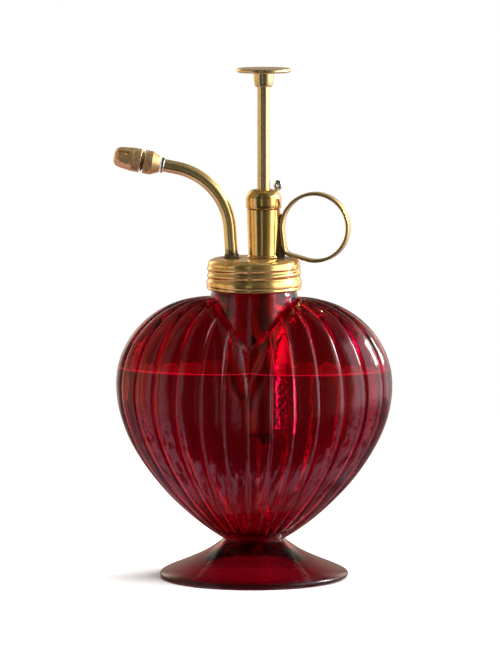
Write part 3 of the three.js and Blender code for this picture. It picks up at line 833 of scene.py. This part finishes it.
outlet_profile = eased([
    (2.5, 119), (3.4, 119), (3.4, 131.6), (3.0, 131.6), (3.0, 128), (2.15, 128), (2.15, 124.4), (1, 123),
    (1, 121.5), (2.5, 121.5),
], 0.2, True)
outlet_part = lathe(outlet_profile, 48, AT_SPOUT)
head_piece("outlet_valve", outlet_part, inner_brass, "outlet_valve_body")


def delivery_path():
    """The inner pipe's centreline, from the cylinder's side up to the outlet valve."""
    bend, bend_z, top = 16.1, 86.8, 121.2
    centre = np.array([SPOUT_X + bend, 0, bend_z])
    points = []
    for a in np.linspace(math.radians(62), 0, 30):
        points.append(centre - bend * np.array([math.cos(a), 0, math.sin(a)]))
    return points + [np.array([SPOUT_X, 0, z]) for z in np.linspace(bend_z + 1, top, 12)]


delivery_part = swept(delivery_path(), 2.2, 32, bore=1.5)
head_piece("delivery_pipe", delivery_part, tube_brass, "delivery_tube")


# ---------------------------------------------------------------- the nozzle

NOZZLE_PLACE = Matrix.Translation(Vector(SPOUT_PATH[-1])) @ Matrix.Rotation(-SPOUT_NOSE, 4, "Y")
KNURL_LEAST = 4.5  # no ridges are cut where the radius is smaller


def knurl(low, high, teeth=64, depth=0.13, run_out=0.25):
    """A relief of fine axial ridges on a turned piece's outside, between two heights."""

    def relief(r, z, angles):
        if r <= KNURL_LEAST or not low < z < high:
            return 0 * angles
        fade = min(1.0, (z - low) / run_out, (high - z) / run_out)
        ridge = np.abs((angles * teeth / FULL_TURN) % 1 - 0.5) * 2
        return -depth * fade * ridge

    return relief


def fine(profile, step):
    """The same profile with extra points, no further apart than step."""
    out = []
    for (r, z), (next_r, next_z) in zip(profile, profile[1:] + profile[:1]):
        count = max(1, math.ceil(math.hypot(next_r - r, next_z - z) / step))
        out += [(r + (next_r - r) * k / count, z + (next_z - z) * k / count) for k in range(count)]
    return out


def cap_relief(r, z, angles):
    """Ridges round the rim, and a milled window on both flanks with a rib left across it."""
    out = knurl(9.9, 13.4)(r, z, angles)
    if r < 3.6 or z < 14.2:
        return out
    for middle in (math.radians(-64), math.radians(116)):
        off = (angles - middle + math.pi) % FULL_TURN - math.pi
        width = smoothstep((0.36 - np.abs(off)) / 0.1)
        length = smoothstep((z - 14.5) / 0.35) * smoothstep((19.6 - z) / 0.35)
        rib = smoothstep((0.75 - abs(z - 16.6)) / 0.25) * smoothstep((0.22 - np.abs(off)) / 0.08)
        out = out - 0.85 * width * length * (1 - 0.75 * rib)
    return out


def nozzle_lathe(profile, segments, relief):
    """A piece turned about the nozzle's own axis, which starts at the spout's end."""
    return placed(lathe(profile, segments, relief=relief), NOZZLE_PLACE)


base_profile = eased([
    (1.5, 1.3), (2.95, 1.3), (3.4, 1.75), (4.75, 4.55), (4.95, 4.9), (4.95, 8.3), (3.4, 8.3), (3.4, 14.8),
    (2.4, 14.8), (2.4, 12.4), (1.5, 12.4),
], 0.25, True)
base_part = nozzle_lathe(fine(base_profile, 0.6), 256, knurl(5.1, 8.15))
head_piece("nozzle_collar_nut", base_part, bronze, "nozzle_base")

cap_outline = eased([
    (3.7, 9.7), (4.95, 9.7), (4.95, 13.7), (4.75, 14.3), (4.5, 16.6), (4.25, 18.4), (3.75, 19.8), (2.8, 20.7),
    (1.6, 21), (0.5, 21), (0.5, 19.7), (2.5, 18.8), (2.5, 16.2), (3.7, 16.2),
], 0.35, True)
cap_part = nozzle_lathe(fine(cap_outline, 0.3), 256, cap_relief)
head_piece("spray_cap", cap_part, bronze, "nozzle_cap", "nozzle")

bead_profile = eased([(2.75, -0.35), (3.0, -0.3), (3.3, 0.2), (3.3, 0.95), (2.75, 1.1)], 0.3, True)
bead_part = nozzle_lathe(bead_profile, 64, lumpy(0.22, 1.6))
head_piece("nozzle_solder_bead", bead_part, silver, "nozzle_solder")


# ---------------------------------------------------------------- the finger ring


def ring_line(count=150):
    """The strip's centreline from its corner round and back, about the ring's centre."""
    x, z = RING_CORNER
    radius = RING_RADIUS - RING_THICKNESS / 2
    shrink = radius / RING_RADIUS
    x, z = x * shrink, z * shrink
    to_corner = math.atan2(z, x)
    spread = math.acos(radius / math.hypot(x, z))
    first, last = to_corner + spread, to_corner - spread + FULL_TURN
    corner = np.array([x, z])
    arc = [radius * np.array([math.cos(a), math.sin(a)]) for a in np.linspace(first, last, count)]
    along_leg = np.linspace(0, 1, 14)[1:-1]
    leg_in = [corner + (arc[0] - corner) * u for u in along_leg]
    leg_out = [arc[-1] + (corner - arc[-1]) * u for u in along_leg]
    line = np.array([*leg_in, *arc, *leg_out])
    # the strip turns its corner on a small radius
    for _ in range(3):
        line = (np.roll(line, 1, 0) + 2 * line + np.roll(line, -1, 0)) / 4
    return line


def ring_mesh():
    """The flat strip along the ring's centreline, turned a little about its left edge."""
    line = ring_line()
    tangent = np.roll(line, -1, 0) - np.roll(line, 1, 0)
    tangent /= np.linalg.norm(tangent, axis=1)[:, None]
    outward = np.stack([tangent[:, 1], -tangent[:, 0]], -1)
    t, w = RING_THICKNESS / 2, RING_WIDTH / 2
    section = eased([(t, -w), (t, w), (-t, w), (-t, -w)], 0.55, True, 5)
    rings = []
    for (x, z), (nx, nz) in zip(line, outward):
        rings.append([(x + nx * u, v, z + nz * u) for u, v in section])
    left_edge = Matrix.Translation((RING_X, 0, RING_Z)) @ Matrix.Rotation(RING_TURN, 4, "Z")
    return placed(skin(rings, looped=True), left_edge @ Matrix.Translation((RING_RADIUS, 0, 0)))


head_piece("ring_strip", ring_mesh(), ring_brass, "finger_ring", sharp=50)


def web_mesh():
    """The browned solder that fills the wedge between the barrel, the ring and the lid."""
    levels = np.linspace(135.25, 153.5, 24)
    rings = []
    for z in levels:
        up = (z - levels[0]) / (levels[-1] - levels[0])
        left = PUMP_X + 6.0 + 0.8 * up
        right = 11.9 + 1.15 * math.exp(-(((z - 136.5) / 2.6) ** 2)) - 0.2 * up
        half = (1.7 + 0.5 * math.exp(-(((z - 136) / 2.0) ** 2))) * math.sqrt(max(0.03, 1 - up**6))
        outline = eased([(left, -half), (right, -half * 0.8), (right, half * 0.8), (left, half)], 0.5, True)
        rings.append([(x, y + 0.12 * noise.noise(Vector((x, y * 3, z * 0.5))), z) for x, y in outline])
    return skin(rings, start=np.mean(rings[0], 0), end=np.mean(rings[-1], 0))


head_piece("ring_solder", web_mesh(), patina, None, sharp=70)


# ---------------------------------------------------------------- CAD nodes that stay

for names, look in (
    (("lid_gasket", "rod_seal", "piston_cup"), black_rubber),
    (("nozzle_washer",), brown_fibre),
    (("spring_seat", "piston", "swirl_insert"), inner_brass),
    (("inlet_ball", "outlet_ball"), steel),
):
    for name in names:
        slots = frame["nodes"][name].data.materials
        slots.clear()
        slots.append(look)


# ---------------------------------------------------------------- floor, light and camera


def floor():
    """A pale floor that fades into the white surroundings. To all rays but the camera's it
    glows instead, a painted light that the object mirrors and shows through its glass: dull,
    patched with painted shade, turning to painted shade just ahead of the object, and with a
    painted reddish pool of light under the foot."""
    rings = spun(np.linspace(20, 520, 26), [0.0] * 26, full_circle(72))
    points, faces = skin(rings, start=(0, 0, 0))
    material, n = new_material("pale_floor")
    away = n.add("VectorMath", operation="LENGTH")
    n.set(away.inputs[0], n.coordinates())
    pale = n.mix(n.noise(60, 3), (0.9, 0.9, 0.9), (0.93, 0.93, 0.93))
    plain = n.add("BsdfPrincipled", Roughness=0.75, **{"Base Color": pale, "Specular IOR Level": 0.0})
    place = n.add("SeparateXYZ", Vector=n.coordinates()).outputs
    # painted light: glow strengths of the floor seen in reflections; dark is painted shade ahead of the
    # object
    near, far, dark = (0.95, 0.78, 0.95), (0.5, 0.28, 0.28), (0.02, 0.02, 0.025)
    # painted shade: ragged dark patches in the floor's glow
    shade = n.ramp(n.noise(34, 5, 0.6), [(0.465, 0), (0.485, 1)])
    painted_table_light = n.mix(n.ramp(place["Y"], [(0.0, 0), (0.04, 1)]), n.mix(shade, (0.1, 0.09, 0.12), near), far)
    # painted shade: past this ragged edge, ahead of and beside the object, the glow turns dark
    beside = n.math("MULTIPLY_ADD", place["Y"], 1.2, n.math("ABSOLUTE", place["X"]))
    edge = n.math("MAXIMUM", n.math("ADD", place["Y"], 0.087), beside)
    edge = n.math("MULTIPLY_ADD", n.noise(38, 5, 0.65), 0.24, edge)
    painted_table_light = n.mix(n.ramp(n.math("ADD", edge, 0.39), [(0.5, 0), (0.503, 1)]), dark, painted_table_light)
    # painted light: a reddish pool of light glowing on the floor under the glass foot
    lens = n.ramp(away.outputs["Value"], [(0.015, 1), (0.09, 0)], True)
    glow = n.add("Emission", Color=n.mix(lens, painted_table_light, (0.3, 0.09, 0.05)))
    seen = n.add("MixShader", Fac=n.add("LightPath").outputs["Is Camera Ray"])
    n.set(seen.inputs[1], glow.outputs[0])
    n.set(seen.inputs[2], plain.outputs[0])
    fade = n.ramp(away.outputs["Value"], [(0.24, 0), (0.5, 1)], True)
    shader = n.add("MixShader", Fac=fade)
    n.set(shader.inputs[1], seen.outputs[0])
    n.set(shader.inputs[2], n.add("BsdfTransparent").outputs[0])
    n.add("OutputMaterial", Surface=shader.outputs[0])
    obj = mesh_object("floor", points, faces, material)
    obj.data.flip_normals()
    obj.location.z = -0.0002


floor()


def world():
    """A quiet room: dark ahead of the object, a window to the right, paler walls elsewhere.
    The camera itself sees plain white."""
    scene_world = bpy.data.worlds.new("studio")
    scene_world.use_nodes = True
    bpy.context.scene.world = scene_world
    n = Nodes(scene_world.node_tree)
    split = n.add("SeparateXYZ", Vector=n.add("TexCoord").outputs["Generated"])
    x, y, z = split.outputs
    turn = n.math("ARCTAN2", x, n.math("MULTIPLY", y, -1.0))
    turn = n.math("MULTIPLY_ADD", turn, 1 / FULL_TURN, 0.5)
    white, rust = (1, 1, 1), (1.3, 0.6, 0.4)
    warm, beige, cool = (1.0, 0.82, 0.58), (1.1, 0.88, 0.72), (0.97, 1.0, 1.05)
    brightest = 3.0

    # degrees round from the object's front, rising to the right, with strength and tint
    walls = [
        (-180, 0.36, beige), (-165, 0.42, beige), (-156, 2.0, beige), (-145, 1.8, beige), (-128, 0.6, beige),
        (-110, 0.7, warm), (-82, 0.8, warm), (-76, 0.5, rust), (-70, 0.5, rust), (-66, 0.8, white),
        (-54, 0.65, white), (-47, 0.04, white), (-20, 0.03, white), (-17, 0.34, white), (-9, 0.34, white),
        (-6, 0.04, warm), (18, 0.06, warm), (46, 0.35, warm), (56, 2.1, cool), (95, 2.4, cool),
        (126, 2.0, cool), (136, 0.9, beige), (145, 1.8, beige), (156, 2.0, beige), (165, 0.42, beige),
        (180, 0.36, beige),
    ]
    stops = []
    for azimuth, strength, tint in walls:
        stops.append((azimuth / 360 + 0.5, tuple(strength * c / brightest for c in tint)))
    room_colour = n.ramp(turn, stops)

    # how the walls fade with height: ahead and left, to the right, and behind the object
    height = n.math("MULTIPLY_ADD", z, 0.5, 0.5)
    low = n.ramp(height, [
        (0.0, 0.2), (0.27, 0.3), (0.34, 1.0), (0.56, 1.0), (0.64, 0.4), (0.86, 0.35), (1.0, 0.08),
    ])
    high = n.ramp(height, [
        (0.0, 0.2), (0.3, 0.3), (0.4, 0.65), (0.45, 1.0), (0.78, 1.0), (0.85, 0.1), (1.0, 0.08),
    ])
    behind = n.ramp(height, [
        (0.0, 0.2), (0.3, 0.4), (0.42, 0.6), (0.5, 0.6), (0.58, 1.0), (0.68, 0.9), (0.8, 0.1), (1.0, 0.04),
    ])
    right = n.ramp(turn, [(0.62, 0), (0.65, 1), (0.86, 1), (0.89, 0)])
    rear = n.ramp(turn, [(0.1, 1), (0.16, 0), (0.87, 0), (0.9, 1)])
    level = n.mix(rear, n.mix(right, low, high), behind)
    product = n.add("VectorMath", operation="MULTIPLY")
    n.set(product.inputs[0], room_colour)
    n.set(product.inputs[1], level)
    room = n.add("Background", Strength=brightest, Color=product.outputs[0])
    plain = n.add("Background", Strength=1.0, Color=(1, 1, 1, 1))
    shader = n.add("MixShader", Fac=n.add("LightPath").outputs["Is Camera Ray"])
    n.set(shader.inputs[1], room.outputs[0])
    n.set(shader.inputs[2], plain.outputs[0])
    n.add("OutputWorld", Surface=shader.outputs[0])


world()


def softbox(name, place, target, size, watts, colour=(1, 1, 1)):
    """A rectangular area light, in metres, aimed at a point. The camera never sees it."""
    light = bpy.data.lights.new(name, "AREA")
    light.shape = "RECTANGLE"
    light.size, light.size_y = size
    light.energy = watts
    light.color = colour
    obj = bpy.data.objects.new(name, light)
    bpy.context.scene.collection.objects.link(obj)
    obj.location = place
    obj.rotation_mode = "QUATERNION"
    obj.rotation_quaternion = (Vector(target) - Vector(place)).to_track_quat("-Z", "Y")
    obj.visible_camera = False
    return obj


softbox("key", (1.26, 0.33, 0.62), (0, 0, 0.09), (0.34, 0.5), 16, (1.0, 0.98, 0.95))
overhead = softbox("overhead", (0.1, -0.1, 1.3), (0, 0, 0), (1.0, 1.0), 28)
overhead.visible_glossy = False
overhead.visible_transmission = False


def glow_card(name, outline, colour, stops):
    """A glowing card behind the glass, with its strength across its width given in stops of
    millimetres and strength. Only what shines through the glass shows it."""
    span, peak, behind_axis = 50, 10, 33
    material, n = new_material(name)
    across = n.add("SeparateXYZ", Vector=n.coordinates()).outputs["X"]
    across = n.math("MULTIPLY", across, 1 / MM / span)
    strength = n.ramp(across, [(at / span, value / peak) for at, value in stops], True)
    glow = n.add("Emission", Color=(*colour, 1.0), Strength=n.math("MULTIPLY", strength, float(peak)))
    n.add("OutputMaterial", Surface=glow.outputs[0])
    corners = [(x, behind_axis, z) for x, z in outline]
    obj = mesh_object(name, corners, [tuple(range(len(corners)))], material)
    obj.visible_camera = obj.visible_glossy = obj.visible_diffuse = obj.visible_shadow = False


upper_card = [(7, 122), (11.5, 122), (17, 80), (7, 80)]
lower_card = [(7.2, 79), (10.6, 79), (10.2, 61), (7.4, 61)]
glow_card("glow_high", upper_card, (1, 0.9, 0.8), [(7.2, 0), (8.4, 4.5), (10.5, 3), (16, 0.4)])
glow_card("glow_low", lower_card, (1, 0.9, 2.2), [(7.2, 0), (7.9, 14), (9.2, 12), (10.6, 0)])


def look_from(elevation, distance, aim, lens):
    """The photo's camera: square to the front and looking down a little, from far away."""
    camera = bpy.data.objects.new("camera", bpy.data.cameras.new("camera"))
    bpy.context.scene.collection.objects.link(camera)
    bpy.context.scene.camera = camera
    camera.data.sensor_fit = "HORIZONTAL"
    camera.data.sensor_width = 36
    camera.data.lens = lens
    camera.data.clip_end = 20
    back = Vector((0, -math.cos(elevation), math.sin(elevation)))
    camera.location = Vector(aim) + distance * back
    camera.rotation_mode = "QUATERNION"
    camera.rotation_quaternion = (-back).to_track_quat("-Z", "Y")


look_from(math.radians(6), 2.3, (-0.0017, 0, 0.103), 394)
bpy.context.scene.view_settings.view_transform = "Standard"
